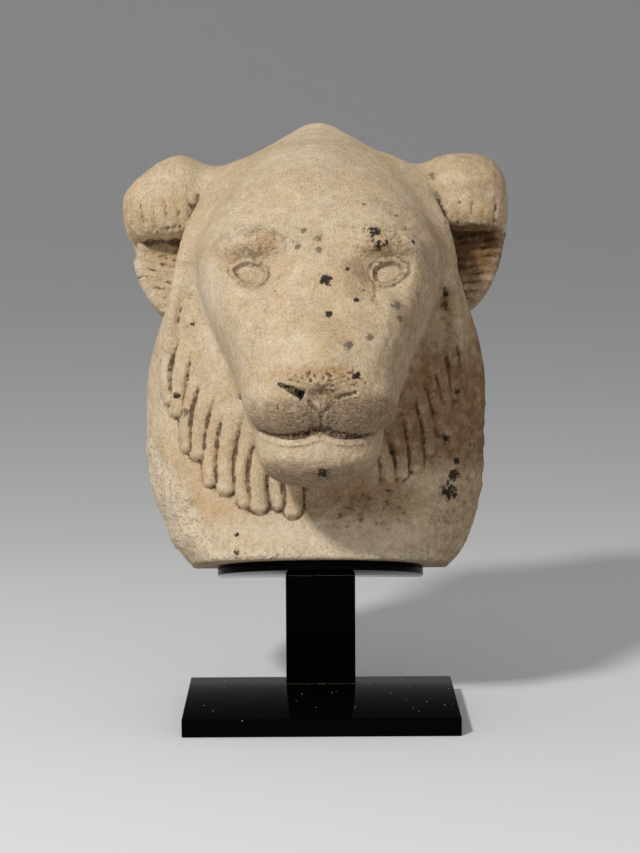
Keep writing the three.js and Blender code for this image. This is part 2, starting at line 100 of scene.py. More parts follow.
# Ellipsoids, each as a centre and its radii
BROW = (21.5, 92, 101), (12, 8, 4.6)
SOCKET = (22.5, 110, 92.5), (12, 14, 8.5)
INNER_CORNER = (17.5, 112, 93), (18.5, 117, 76), 6.5
WHISKER_PAD = (9.2, 97.5, 51.3), (16.6, 20, 14.8)
MOUTH_SIDE, MOUTH_HEIGHT, MOUTH_WIDTH, MOUTH_DROP = 9.2, 50.4, 16.8, 14.9
MOUTH_FRONT, SIGHT_RISE = 105, 0.114
GROOVE_DEPTH = 0.8
NOSE = (0.5, 104, 58), (13.2, 17.5, 14)
NOSE_UNDERSIDE = 51
NOSE_PAD = (0.5, 105.5, 46.5), (4.6, 10.5, 6)
NOSTRIL = (-13.2, 52.4), (-5, 48.6)
CHIN = (-0.8, 86, 38), (20.3, 20.5, 15.6)
CHIN_SQUARENESS = 2.7
JAW = (0, 66, 42), (21, 32, 15)
RUFF = (0, 30, 72), (50, 38, 58)

# The ears, left and right
LOBE_SIDE = 54.5, 52
LOBE_CUT = 116, 118.5
SHELL_HEIGHT = 122, 124
SHELL_WIDTH = 18, 17.2
SHELL_DROP = 34, 33
LOBE_CHIP = 145.5, 1000
LOBE_FRONT, LOBE_HEIGHT, LOBE_SIZE, LOBE_SQUARENESS = 28, 129.5, (15.6, 20.5, 17), 2.7
EAR_NECK = (20, 26, 128.5), (50, 29, 128.5), 14.3
SHELL_SIDE, SHELL_FRONT, SHELL_DISH, SHELL_RISE, SHELL_BACK, SHELL_BACK_SLOPE = 50, 33, 2.5, 21.5, 10, 0.3
CHIP_DIRECTION = 0.62, 0.78
SHELL_CHIP = (-71, 33, 113), (6.5, 20, 6)
RIB_SPACING = 3.0
FLUTE_SPACING = 4.3

# The band of hair that frames the face, from the crown down to its pointed end
BAND_LEFT = [
    (-29, 42, 135), (-36.5, 46.5, 126), (-42, 49, 116), (-46.3, 49.5, 105), (-49.5, 48, 93.7),
    (-52, 45.5, 83.2), (-53, 43.5, 76),
]
BAND_RIGHT = [
    (27, 42, 137), (35, 47, 127), (40.5, 49.5, 116), (44.3, 50.5, 104), (46.6, 50.5, 92.4),
    (48, 49, 82), (48.5, 47, 77),
]
BAND_RADIUS = 4.5, 2.1

# The locks of the ruff: side and height of the root and of the tip, how far the middle bows out, half width
LOCKS_LEFT = [
    (-51.9, 76.4, -53.1, 54.9, 4.4, 2), (-46.9, 75.1, -50.2, 50.4, 1.6, 2.9),
    (-42.9, 65.3, -46.7, 37.6, 3.8, 2.3), (-38.1, 60.3, -42.6, 34.9, 3, 3.2),
    (-34.9, 54.2, -38.3, 25.4, 2.9, 2.6), (-29.3, 51.8, -32.6, 22.4, 3.5, 3.5),
    (-24.7, 42.7, -26, 17.9, 4.6, 2.7), (-19.3, 37.5, -21.1, 16, 3.4, 3.5),
    (-15.4, 32.3, -14.4, 17.1, 1, 2.6), (-10, 30.1, -9.3, 14.2, -0.5, 3.3),
]
LOCKS_RIGHT = [
    (49.4, 79.5, 48.4, 56.1, 3.9, 2), (45, 77.8, 47.3, 55.9, 2, 2), (40.2, 72.4, 44.8, 43.1, 2.8, 2.1),
    (36.6, 64.9, 42, 43.6, 2.9, 2.1), (33.1, 59.8, 38.2, 35.9, 2.8, 2.2), (29.6, 53.7, 33.4, 30.1, 2.4, 2.6),
    (24.4, 46.5, 28.4, 27.9, 3, 2.4), (19.6, 41, 23.7, 26.1, 2.1, 2.3),
]
LOCK_PROUD_LEFT, LOCK_PROUD_RIGHT = 3.3, 2.1

# The leaf-shaped hollows beside the band's pointed ends: top, pointed foot, half width, depth
LEAF_HOLLOWS = [((-48.2, 99), (-50.1, 84.5), 1.7, 2.2), ((44, 92.5), (45.4, 86.5), 1, 1.6)]

# The eye: its middle, half width, how far the lids arch up and down, how far its outer end is turned up
EYE_SIDE, EYE_HEIGHT, EYE_HALF_WIDTH, EYE_ARCH_UP, EYE_ARCH_DOWN, EYE_TURN = 23.1, 92.1, 5.2, 3.5, 3.6, 0.2

# Dark mineral spots on the face and bib: side, height, radius
BLACK_SPOTS = [
    (18, 105, 1.9), (19, 100.5, 1.4), (22, 101, 1), (2, 88, 1.8), (3, 76, 1.3), (9, 92, 0.8), (12, 81, 0.7),
    (1, 25, 1.4), (45, 24, 2.4), (47, 30, 1.8), (48, 35, 1.1), (44, 42, 1.3), (48, 59, 1.1), (-50, 58, 1.2),
    (-44, 83, 0.8), (44, 93, 1.2), (25, 37, 1), (31, 102, 0.8), (-29, 9, 0.9), (-29, 3, 0.8),
    (11.5, 55, 1.2),
]
GREY_SPOTS = [
    (-5, 106, 1.1), (0, 103, 1.3), (-7, 100, 0.9), (0, 99, 1.1), (25, 80, 1.3), (26, 76, 0.9), (16, 68, 1.2),
    (9, 65, 1.3), (40, 136, 1.4), (15, 116, 0.9), (-47, 52, 1.3), (26, 113, 0.7),
]

# Soft oval patches of each stain, and of painted light and painted shade: strength, side, height, half width,
# half height, least front
PATCHES = {
    "stain": [(0.6, -38, 28, 22, 24, 0), (0.6, 6, 76, 16, 28, 80), (0.45, 0, 8, 50, 10, 0)],
    "pale": [
        # Painted light: the upper forehead's, the lower rim's and the crown's patches brighten what faces up
        # to the lamp; the rest are pale wear
        (0.6, -6, 139, 18, 11, 0), (0.75, -37, 83, 6, 20, 40), (0.6, 16, 64, 10, 13, 90),
        (0.6, -10, 64, 12, 10, 95), (0.55, -3, 31, 20, 7, 90), (0.9, 6, 9, 55, 9, 0),
        (0.5, -56, 60, 10, 40, 0), (0.6, 0, 154, 40, 9, 0),
    ],
    # Painted shade: the brown patches darken the right whisker pad and the right brow, on the shaded side
    "brown_patina_and_shade": [(0.7, 15, 42, 16, 11, 90), (0.4, 24, 100, 12, 5, 80)],
    "rust": [
        (0.75, 0.5, 54.5, 16, 4, 100), (0.65, -17.5, 102.5, 6, 5, 80), (0.6, 20, 101.5, 10, 4.5, 80),
        (0.6, -29, 98, 5, 4.5, 80),
    ],
    "pitted": [
        (0.5, 0.5, 54.5, 16, 5, 95), (0.45, 16, 16, 30, 13, 0), (0.7, -22, 102, 12, 7, 80),
        (0.7, 22, 103, 12, 7, 80),
    ],
}

# The worn zones of the surface, as ovals like the patches
LEFT_BROW, RIGHT_BROW = (-21, 105, 13, 6, 60), (20, 107, 12, 6, 60)
NOSE_TOP, THROAT, MUZZLE = (1, 55, 15, 4.5, 95), (16, 16, 26, 11), (0, 40, 30, 14, 85)

# Sizes of the lumps of wear, of the pits, and of the noise that makes stains patchy and spots ragged,
# then how the octaves of all of it fade and shrink
WEAR_LOW, WEAR_MIDDLE, WEAR_FINE, PIT_SIZE = 9, 3.2, 1.3, 2.3
PATCHY_SIZE, RAGGED_SIZE = 14, 1.6
NOISE_FADE, NOISE_STEP = 0.8, 2.1

# The stone's stains and its painted shade and painted light, from below: mask, colour, size of the noise that
# breaks it up in mm, where it sets in and is full as mask plus noise, strength
STONE_LAYERS = [
    # The brown layer is patina with painted shade where the stone turns from the lamp
    ("stain", "#c39f6a", 7, 1.1, 2.3, 0.85), ("brown_patina_and_shade", "#6a441a", 4, 1.05, 2.3, 0.88),
    # The grime layer is grime with painted shade on the right pad and on the undersides
    # The pale layer is pale wear, with painted light on the crown, the upper forehead and the lower rim
    ("pale", "#e2d3b9", 3, 1.3, 2.1, 0.7), ("grime_and_shade", "#77624a", 1.6, 1.15, 2.1, 0.85),
    # The crease layer is painted shade in the hollows
    ("rust", "#b08348", 2, 1.25, 2.1, 0.75), ("crease", "#463019", 1.2, 1.2, 2.0, 0.85),
    ("worn", "#e0d3bd", 1.2, 1.5, 2.5, 0.45), ("fleck", "#f0e8da", 0.7, 1.66, 1.92, 0.5),
    ("pitted", "#5f4a30", 1.2, 2.0, 2.4, 0.6), ("grey_spot", "#5c5850", 0.9, 1.4, 1.6, 0.8),
    # Mineral spots, and the nostril's painted shade
    ("black_spot_and_nostril_shade", "#15130f", 0.9, 1.4, 1.6, 0.95),
]
STAIN_BREAK_UP = 2.0

# The limestone's mottle, grain, sand, pits and tool strokes: spacing, and depth of the last three
MOTTLE, GRAIN, SAND, PIT_SPACING, STROKE = 9 * MM, 0.9 * MM, 0.8 * MM, 1.5 * MM, 1.4 * MM
SAND_DEPTH, PIT_DEPTH, STROKE_DEPTH = 0.9 * MM, 0.7 * MM, 1.3 * MM
STROKE_STRETCH = 0.14, 0.4, 1.5
GRAIN_SHARE, TONE_LOW, TONE_HIGH = 2.0, 0.9, 2.1
STONE_ROUGHNESS, STONE_SPECULAR = 0.92, 0.25

# The acrylic's finish, and how strongly each piece of it mirrors
ACRYLIC_ROUGHNESS, ACRYLIC_IOR = 0.06, 1.49
BASE_GLOSS, POST_GLOSS, PLATE_GLOSS = 0.005, 0.02, 0.03
GLUE_BREAKS, GLUE_HAIR = 0.48, 0.03 * MM

# How close corners are merged, and how often and how far points are moved onto the form
MERGE_DISTANCE = 0.02 * MM
ROUNDS, COARSE_STEP, FINE_STEP = 4, 1.5, 0.6


def smooth_min(a, b, blend):
    near = np.maximum(blend - np.abs(a - b), 0) / blend
    return np.minimum(a, b) - near * near * blend / 4


def smooth_max(a, b, blend):
    return -smooth_min(-a, -b, blend)


def ramp(low, high, value):
    """A smooth rise from 0 to 1, or a fall if low is the larger"""
    share = np.clip((value - low) / (high - low), 0, 1)
    return share * share * (3 - 2 * share)


def bump(value, middle, width):
    """A soft hill of height 1 round a middle value"""
    return np.exp(-(((value - middle) / width) ** 2))


def curve_through(stations):
    """Stations up the stone, read at any height by a smooth curve through them"""
    rows = np.array(stations, float)
    heights, values = rows[:, 0], rows[:, 1:]
    slopes = np.gradient(values, heights, axis=0)

    def at(height):
        height = np.clip(height, heights[0], heights[-1])
        i = np.clip(np.searchsorted(heights, height, side="right") - 1, 0, len(heights) - 2)
        gap = (heights[i + 1] - heights[i])[:, None]
        t = (height - heights[i])[:, None] / gap
        low = (1 + 2 * t) * (1 - t) ** 2 * values[i] + t * (1 - t) ** 2 * gap * slopes[i]
        high = t * t * (3 - 2 * t) * values[i + 1] + t * t * (t - 1) * gap * slopes[i + 1]
        return (low + high).T
    return at


bust_at = curve_through(BUST)
skull_at = curve_through(SKULL)


def section_distance(side, front, half_width, reach, axis, power):
    """Distance, along a level section, from a superellipse with its widest line at axis"""
    ahead = np.maximum(front - axis, 0)
    size = ((np.abs(side) / half_width) ** power + (ahead / (reach - axis)) ** power + 1e-12) ** (1 / power)
    return np.hypot(side, ahead) * (1 - 1 / size)


def ellipsoid(side, front, height, at, size):
    offsets = side - at[0], front - at[1], height - at[2]
    scaled = np.sqrt(sum((v / r) ** 2 for v, r in zip(offsets, size)) + 1e-12)
    slope = np.sqrt(sum((v / r ** 2) ** 2 for v, r in zip(offsets, size)) + 1e-12)
    return scaled * (scaled - 1) / slope


def rounded_block(point, at, size, power):
    """A superellipsoid: an ellipsoid swollen towards its corners"""
    scaled = sum(np.abs((p - a) / r) ** power for p, a, r in zip(point, at, size)) + 1e-12
    reach = np.sqrt(sum((p - a) ** 2 for p, a in zip(point, at))) + 1e-9
    return reach * (1 - scaled ** (-1 / power))


def along_line(point, start, end):
    """How far along a line, as a share, and how far from it the points are"""
    run = [e - s for s, e in zip(start, end)]
    offset = [p - s for p, s in zip(point, start)]
    share = np.clip(sum(o * r for o, r in zip(offset, run)) / sum(r * r for r in run), 0, 1)
    return share, np.sqrt(sum((o - r * share) ** 2 for o, r in zip(offset, run)))


def along_chain(point, corners):
    """How far along a chain of lines, as a share, and how far from it the points are"""
    nearest = np.full(point[0].shape, 1e9)
    share = np.zeros(point[0].shape)
    for i in range(len(corners) - 1):
        part, distance = along_line(point, corners[i], corners[i + 1])
        closer = distance < nearest
        nearest = np.where(closer, distance, nearest)
        share = np.where(closer, (i + part) / (len(corners) - 1), share)
    return share, nearest


def lock_path(lock, pieces=5):
    root_side, root_height, tip_side, tip_height, bow, half_width = lock
    root = np.array([root_side, root_height])
    tip = np.array([tip_side, tip_height + half_width])
    middle = (root + tip) / 2 + np.array([math.copysign(1, tip_side) * bow, 0])
    shares = np.linspace(0, 1, pieces + 1)[:, None]
    return (1 - shares) ** 2 * root + 2 * shares * (1 - shares) * middle + shares ** 2 * tip


def lock_relief(side, height):
    """How far the locks stand out of the ruff"""
    relief = np.zeros(side.shape)
    for locks, proud in ((LOCKS_LEFT, LOCK_PROUD_LEFT), (LOCKS_RIGHT, LOCK_PROUD_RIGHT)):
        for lock in locks:
            share, distance = along_chain((side, height), lock_path(lock))
            across = np.clip(1 - (distance / lock[5]) ** 2, 0, 1) ** 0.5
            relief = np.maximum(relief, proud * ramp(-0.1, 0.45, share) * across)
    return relief


def line_relief(side, height, corners, width):
    """A groove of depth 1 along a chain of points, with its ends tapered"""
    share, distance = along_chain((side, height), corners)
    return bump(distance, 0, width) * ramp(0, 0.12, share) * ramp(1, 0.88, share)


def eye_relief(x, height):
    """Lids, eyeball and the tear line of the right eye"""
    across = np.abs(x) - EYE_SIDE
    up = height - EYE_HEIGHT - np.clip(across, -2, 9) * EYE_TURN
    arch = np.where(up > 0, EYE_ARCH_UP, EYE_ARCH_DOWN)
    arch = arch * (1 - 0.5 * np.clip(across / EYE_HALF_WIDTH, 0, 1) ** 2)
    size = np.hypot(across / EYE_HALF_WIDTH, up / arch)
    beyond = size * (size - 1) / (np.hypot(across / EYE_HALF_WIDTH ** 2, up / arch ** 2) + 0.02)
    ball = np.where(size < 1, 1.3 * (1 - size ** 2) - 1.5, -1.5 * ramp(0.4, 0, beyond))
    lid = 1.1 * bump(beyond, 0.6, 0.45)
    crease = -0.5 * bump(beyond, 1.5, 0.4)
    crease -= 0.7 * line_relief(across, up, [(4.2, 0), (6.2, -0.3), (7.6, -0.8)], 0.5)
    brow = 2.5 * ramp(96.8, 100.8, height) * ramp(110, 103, height) * bump(across, -1.5, 8.5)
    tear = -0.8 * line_relief(x, height, [(18.2, 93), (18.3, 88), (18.2, 83), (17.4, 80.5)], 0.55)
    return np.where(size < 3, ball + lid + crease, 0) + brow + tear


def mouth_distance(x, front, height):
    """How far outside the mouth line a point is seen, along a sight line that rises with depth"""
    seen = height + SIGHT_RISE * (front - MOUTH_FRONT)
    drop = np.minimum(seen - MOUTH_HEIGHT, 0) / MOUTH_DROP
    size = np.hypot((np.abs(x) - MOUTH_SIDE) / MOUTH_WIDTH, drop)
    return (size - 1) * MOUTH_DROP - 2 * np.maximum(seen - MOUTH_HEIGHT, 0)


def nostril(x, height):
    """1 inside the open left nostril, a wedge that widens towards the nose's middle"""
    share, distance = along_line((x, height), *NOSTRIL)
    return bump(distance, 0, 0.35 + 0.9 * share) * ramp(1, 0.9, share)


def muzzle_relief(x, height):
    """Nostrils, the nose's midline and the lip's cleft"""
    relief = -3.2 * nostril(x, height)
    relief -= 0.8 * line_relief(x, height, [(4, 47.6), (8, 49), (12, 50)], 0.8)
    relief -= 0.5 * line_relief(x, height, [(0.5, 52), (0.4, 48), (0.2, 43)], 0.4)
    relief -= 1.2 * line_relief(x, height, [(-4.3, 48), (-2.2, 45), (0.2, 43.2), (2.6, 45), (5, 48.2)], 0.55)
    relief -= 1.7 * line_relief(x, height, [(0.2, 44.2), (0.2, 40), (0, 36)], 0.55)
    return relief


def ear_forms(x, front, height):
    """The rolled lobe with its flutes, and the ribbed shell behind it"""
    side = np.abs(x)

    def by_ear(pair):
        return np.where(x < 0, pair[0], pair[1])
    lobe = rounded_block(
        (side - by_ear(LOBE_SIDE), front, height), (0, LOBE_FRONT, LOBE_HEIGHT), LOBE_SIZE, LOBE_SQUARENESS)
    start, end, radius = EAR_NECK
    neck = along_line((side, front, height), start, end)[1] - radius
    lobe = smooth_min(lobe, neck, 7)
    lobe = smooth_max(lobe, CHIP_DIRECTION[0] * side + CHIP_DIRECTION[1] * height - by_ear(LOBE_CHIP), 1.5)
    flute = np.abs(np.sin(np.pi * (side - 44.5 - 0.12 * (height - 118)) / FLUTE_SPACING))
    lobe = lobe + 0.7 * (1 - flute) ** 2 * ramp(134, 121, height) * ramp(43, 46, side)
    lobe = smooth_max(lobe, by_ear(LOBE_CUT) - height, 1.2)
    middle = by_ear(SHELL_HEIGHT)
    reach = np.where(height > middle, SHELL_RISE, by_ear(SHELL_DROP))
    across, up = (side - SHELL_SIDE) / by_ear(SHELL_WIDTH), (height - middle) / reach
    size = np.hypot(across, up) + 1e-6
    rim = size * (size - 1) / (np.hypot(across / SHELL_WIDTH[1], up / reach) + 1e-6)
    line = height - np.where(x < 0, 0.27, 0.1) * (side - SHELL_SIDE)
    across_rib = np.mod(line, RIB_SPACING) / RIB_SPACING
    rib = bump(across_rib, 0.2, 0.17) + 0.35 * across_rib
    face = front - SHELL_FRONT + SHELL_DISH * np.clip(1 - size, 0, 1) + 1.1 * rib
    shell = smooth_max(rim, face, 1)
    shell = smooth_max(shell, SHELL_BACK + SHELL_BACK_SLOPE * (side - 45) - front, 3)
    shell = smooth_max(shell, -ellipsoid(x, front, height, *SHELL_CHIP), 0.8)
    return lobe, shell


def head_form(x, front, height):
    """Skull, muzzle, nose, eyes, chin and jaw"""
    side = np.abs(x)
    ahead = ramp(60, 75, front)
    mouth = mouth_distance(x, front, height)
    front = front - ahead * (eye_relief(x, height) + muzzle_relief(x, height))
    reach, half_width, axis, power = skull_at(height)
    form = section_distance(x, front, half_width, reach, axis, power)
    form = smooth_max(form, mouth, 2)
    form = smooth_min(form, ellipsoid(side, front, height, *BROW), 6)
    form = smooth_max(form, -ellipsoid(side, front, height, *SOCKET), 7)
    start, end, radius = INNER_CORNER
    form = smooth_max(form, radius - along_line((side, front, height), start, end)[1], 5)
    form = smooth_min(form, ellipsoid(side, front, height, *WHISKER_PAD), 3)
    nose = smooth_max(ellipsoid(x, front, height, *NOSE), NOSE_UNDERSIDE - height, 2)
    form = smooth_min(form, nose, 4)
    form = smooth_min(form, ellipsoid(x, front, height, *NOSE_PAD), 2)
    lip = 0.5 * bump(mouth, 1.1, 0.8)
    block = rounded_block((x, front - lip, height), *CHIN, CHIN_SQUARENESS)
    block = smooth_min(block, ellipsoid(x, front, height, *JAW), 8)
    chin = smooth_max(block, -0.4 - mouth, 0.8)
    behind = smooth_max(block + GROOVE_DEPTH, -1 - mouth, 0.5)
    return smooth_min(form, smooth_min(chin, behind, 0.4), 0.6)


def leaf_hollow(x, height):
    """The leaf-shaped hollows beside the pointed ends of the band"""
    hollow = np.zeros(x.shape)
    for top, foot, half_width, depth in LEAF_HOLLOWS:
        share, distance = along_line((x, height), top, foot)
        width = half_width * (0.45 + 0.55 * ramp(0, 0.6, share))
        hollow = hollow + depth * ramp(-0.1, 0.7, share) * bump(distance, 0, width * 0.8)
    return hollow


def stone_form(x, front, height):
    """The whole carved stone: negative inside, and near a distance close to the surface"""
    left, right, reach, power = bust_at(height)
    raised = front - lock_relief(x, height) + leaf_hollow(x, height)
    form = section_distance(x, raised, np.where(x < 0, left, right), reach, BUST_AXIS, power)
    form = smooth_min(form, ellipsoid(x, raised, height, *RUFF), 5)
    for chain in (BAND_LEFT, BAND_RIGHT):
        share, distance = along_chain((x, front, height), chain)
        form = smooth_min(form, distance - np.interp(share, (0, 1), BAND_RADIUS), 3)
    form = smooth_min(form, head_form(x, front, height), 2.5 + 13 * ramp(82, 118, height))
    crown = CROWN_HEIGHT - np.hypot(CROWN_ROUNDING, CROWN_FALL * x) + CROWN_ROUNDING
    form = smooth_max(form, height - crown, 3)
    lobe, shell = ear_forms(x, front, height)
    form = smooth_min(form, lobe, 1.5 + 10 * ramp(124, 140, height))
    form = smooth_min(form, shell, 1)
    form = smooth_max(form, -front, 0.6)
    return smooth_max(form, -height, 0.6)


def form_gradient(points, reach=0.12):
    """The form's slope at each point, by central differences"""
    columns = []
    for axis in range(3):
        ahead, behind = points.copy(), points.copy()
        ahead[:, axis] += reach
        behind[:, axis] -= reach
        columns.append((stone_form(*ahead.T) - stone_form(*behind.T)) / (2 * reach))
    return np.stack(columns, 1)


def onto_form(points, rounds, longest):
    """Move points along the form's slope until they lie on its surface"""
    for _ in range(rounds):
        value = stone_form(*points.T)
        slope = form_gradient(points)
        steep = np.maximum((slope ** 2).sum(1), 0.15)
        step = np.clip(value / np.sqrt(steep), -longest, longest)
        points = points - slope / np.sqrt(steep)[:, None] * step[:, None]
    return points


def stone_points(mesh):
    """A mesh's vertices in the stone's frame, in millimetres"""
    places = np.empty(len(mesh.vertices) * 3)
    mesh.vertices.foreach_get("co", places)
    inverse = np.array(STONE_FRAME.inverted())
    local = places.reshape(-1, 3) @ inverse[:3, :3].T + inverse[:3, 3]
    return np.stack([local[:, 0], -local[:, 1], local[:, 2]], 1) / MM


def set_stone_points(mesh, points):
    local = np.stack([points[:, 0], -points[:, 1], points[:, 2]], 1) * MM
    matrix = np.array(STONE_FRAME)
    mesh.vertices.foreach_set("co", (local @ matrix[:3, :3].T + matrix[:3, 3]).ravel())
    mesh.update()


def fine_zone(points):
    """Where the carving needs a finer mesh: face, locks and ears"""
    side, front, height = np.abs(points[:, 0]), points[:, 1], points[:, 2]
    face = (front > 72) & (side < 36) & (height > 20) & (height < 108)
    locks = (front > 36) & (front < 64) & (height > 10) & (height < 100) & (side < 58)
    ears = (side > 42) & (height > 88) & (height < 136) & (front > 26)
    return face | locks | ears


def finest_zone(points):
    """The eyes, the nose and the lip line"""
    side, front, height = np.abs(points[:, 0]), points[:, 1], points[:, 2]
    eyes = (front > 72) & (np.abs(side - EYE_SIDE) < 10) & (np.abs(height - EYE_HEIGHT) < 9)
    nose = (front > 90) & (side < 15) & (height > 36) & (height < 56)
    mouth = (front > 82) & (side < 27) & (height < 52) & (np.abs(mouth_distance(*points.T)) < 3)
    return eyes | nose | mouth


def refine(mesh, zone):
    """Split the faces of a zone in four"""
    inside = zone(stone_points(mesh))
    shape = bmesh.new()
    shape.from_mesh(mesh)
    edges = [e for e in shape.edges if inside[e.verts[0].index] and inside[e.verts[1].index]]
    bmesh.ops.subdivide_edges(shape, edges=edges, cuts=1, use_grid_fill=True)
    shape.to_mesh(mesh)
    shape.free()


def add_node(tree, kind, sockets=None, **settings):
    """Add a shader node with its settings, and its input values or links"""
    node = tree.nodes.new("ShaderNode" + kind)
    for name, value in settings.items():
        setattr(node, name, value)
    for name, value in (sockets or {}).items():
        if isinstance(value, bpy.types.NodeSocket):
            tree.links.new(value, node.inputs[name])
        else:
            node.inputs[name].default_value = value
    return node


def new_material(name):
    """A material, its node tree and its shader"""
    material = bpy.data.materials.new(name)
    material.use_nodes = True
    return material, material.node_tree, material.node_tree.nodes["Principled BSDF"]


def add_object(context, name, data):
    added = bpy.data.objects.new(name, data)
    context.collection.objects.link(added)
    return added


def linear(code):
    """A hex sRGB colour as linear red, green, blue, alpha"""
    channels = [int(code[i:i + 2], 16) / 255 for i in (1, 3, 5)]
    return tuple(c / 12.92 if c <= 0.04045 else ((c + 0.055) / 1.055) ** 2.4 for c in channels) + (1.0,)


def stone_noise(points, size, octaves, seed):
    """Fractal noise, about -1 to 1, with its largest lumps of a size in millimetres"""
    offset = Vector((seed * 17.3, seed * 5.1, seed * 9.7))
    values = [noise.fractal(Vector(p) / size + offset, NOISE_FADE, NOISE_STEP, octaves) for p in points]
    return np.array(values)


def blob(points, side, height, width, tall, least_front=0):
    """A soft oval patch on the front of the stone"""
    reach = np.hypot((points[:, 0] - side) / width, (points[:, 2] - height) / tall)
    return ramp(1.6, 0.2, reach) * ramp(least_front - 6, least_front + 6, points[:, 1])


def patches(points, stain):
    """The strongest of a stain's oval patches at each point"""
    return np.maximum.reduce([strength * blob(points, *oval) for strength, *oval in PATCHES[stain]])


def rough_margins(points):
    """1 where the block's edges are broken rough: both lower corners, the right margin, the lower rim"""
    side, front, height = points.T
    left_edge = -side - 59 + 0.62 * np.clip(46 - height, 0, 60)
    right_edge = side - 52 + 0.55 * np.clip(40 - height, 0, 60)
    left = ramp(-3, 4, left_edge) * ramp(70, 48, height)
    right = ramp(-3, 4, right_edge) * ramp(66, 42, height)
    rim = ramp(7, 2, height)
    return np.maximum(np.maximum(left, right), rim) * ramp(2, 10, front)


def carved_roughness(points):
    """The worn surface: broken margins, eroded brows, nose and lobes, pits"""
    low = stone_noise(points, WEAR_LOW, 3, 1)
    middle = stone_noise(points, WEAR_MIDDLE, 3, 2)
    fine = stone_noise(points, WEAR_FINE, 3, 3)
    margins = rough_margins(points)
    brows = blob(points, *LEFT_BROW) + 0.8 * blob(points, *RIGHT_BROW)
    nose = blob(points, *NOSE_TOP)
    lobes = ramp(41, 45, np.abs(points[:, 0])) * bump(points[:, 2], 118, 3.5)
    # Each zone, and how much of the low, the middle and the fine lumps it has
    zones = [
        (1, 0.1, 0.12, 0.1), (margins, 1.1, 0.3, 0.2), (brows, 0, 1.0, 0.5), (nose, 0, 0.5, 0.3),
        (blob(points, *MUZZLE), 0, 0, 0.05), (blob(points, *THROAT), 0.8, 0.4, 0.15), (lobes, 0, 0.5, 0.4),
    ]
    relief = -0.5 * margins
    for zone, low_share, middle_share, fine_share in zones:
        relief += zone * (low_share * low + middle_share * middle + fine_share * fine)
    pits = ramp(0.42, 0.8, stone_noise(points, PIT_SIZE, 2, 4))
    return relief - 0.45 * pits * (0.35 + margins + brows + nose)


def neighbour_mean(values, edges):
    """The mean, at each vertex, of what its neighbours hold"""
    total = np.zeros(values.shape)
    np.add.at(total, edges[:, 0], values[edges[:, 1]])
    np.add.at(total, edges[:, 1], values[edges[:, 0]])
    count = np.bincount(edges.ravel(), minlength=len(values)).astype(float)
    return total / (count[:, None] if values.ndim > 1 else count)


def hollowness(mesh, points, normals):
    """How sharply the surface curves in at each vertex, per millimetre; below 0 where it curves out"""
    edges = np.empty(len(mesh.edges) * 2, dtype=int)
    mesh.edges.foreach_get("vertices", edges)
    edges = edges.reshape(-1, 2)
    inward = ((neighbour_mean(points, edges) - points) * normals).sum(1)
    length = np.linalg.norm(points[edges[:, 0]] - points[edges[:, 1]], axis=1)
    spacing = np.zeros(len(points))
    np.add.at(spacing, edges.ravel(), np.repeat(length, 2))
    spacing /= np.bincount(edges.ravel(), minlength=len(points))
    bend = 4 * inward / spacing ** 2
    for _ in range(3):
        bend = 0.5 * bend + 0.5 * neighbour_mean(bend, edges)
    return bend


def patina_and_painted_shade_mask(points, normals, patchy, face):
    """Brown patina with painted shade: the right side from the cheek to the margin, under the right lobe, the
    throat and what faces down
    """
    x, front, height = points.T
    side = np.abs(x)
    cheek = ramp(34, 44, x) * ramp(98, 84, front) * ramp(112, 98, height)
    margin = ramp(44, 58, x) * ramp(18, 56, height) * ramp(120, 92, height)
    # Painted shade under the lobes and in the right ear's shell
    under_lobe = ramp(43, 46, side) * ramp(120, 117.5, height) * ramp(92, 112, height)
    shell = under_lobe * ramp(49, 44, front) * ramp(8, 26, front)
    locks = ramp(4, 30, x) * ramp(24, 40, height) * ramp(92, 66, height) * (1 - face)
    # Painted shadow of the chin on the throat
    throat = blob(points, 14, 22, 22, 9) * (1 - face)
    lobe = ramp(40, 60, x) * ramp(112, 120, height)
    # Painted shade: what faces right, away from the lamp, and what faces down is browned
    turned_right = ramp(0.1, 0.9, normals[:, 0]) * ramp(132, 100, height)
    turned_down = ramp(0.15, 0.9, -normals[:, 2]) * ramp(100, 80, height)
    back_edge = ramp(20, 4, front)
    return np.maximum.reduce([
        patches(points, "brown_patina_and_shade"), 0.5 * turned_right, 0.3 * cheek, 1.1 * locks, 0.8 * throat, 0.35 * lobe,
        margin * ramp(-2, 16, front) * (0.5 + 0.8 * patchy), shell * np.where(x < 0, 0.1, 1.6),
        0.6 * turned_down, 0.5 * back_edge])


def spot_mask(points, spots, ragged):
    """Round spots with ragged edges, on the front of the stone only"""
    x, front, height = points.T
    ahead = front > np.where(np.abs(x) < 20, 62, 30)
    mask = np.zeros(len(points))
    for side, spot_height, radius in spots:
        reach = np.hypot(x - side, height - spot_height) / radius + ragged
        mask = np.maximum(mask, np.clip(1 - reach / 2, 0, 1) * ahead)
    return mask


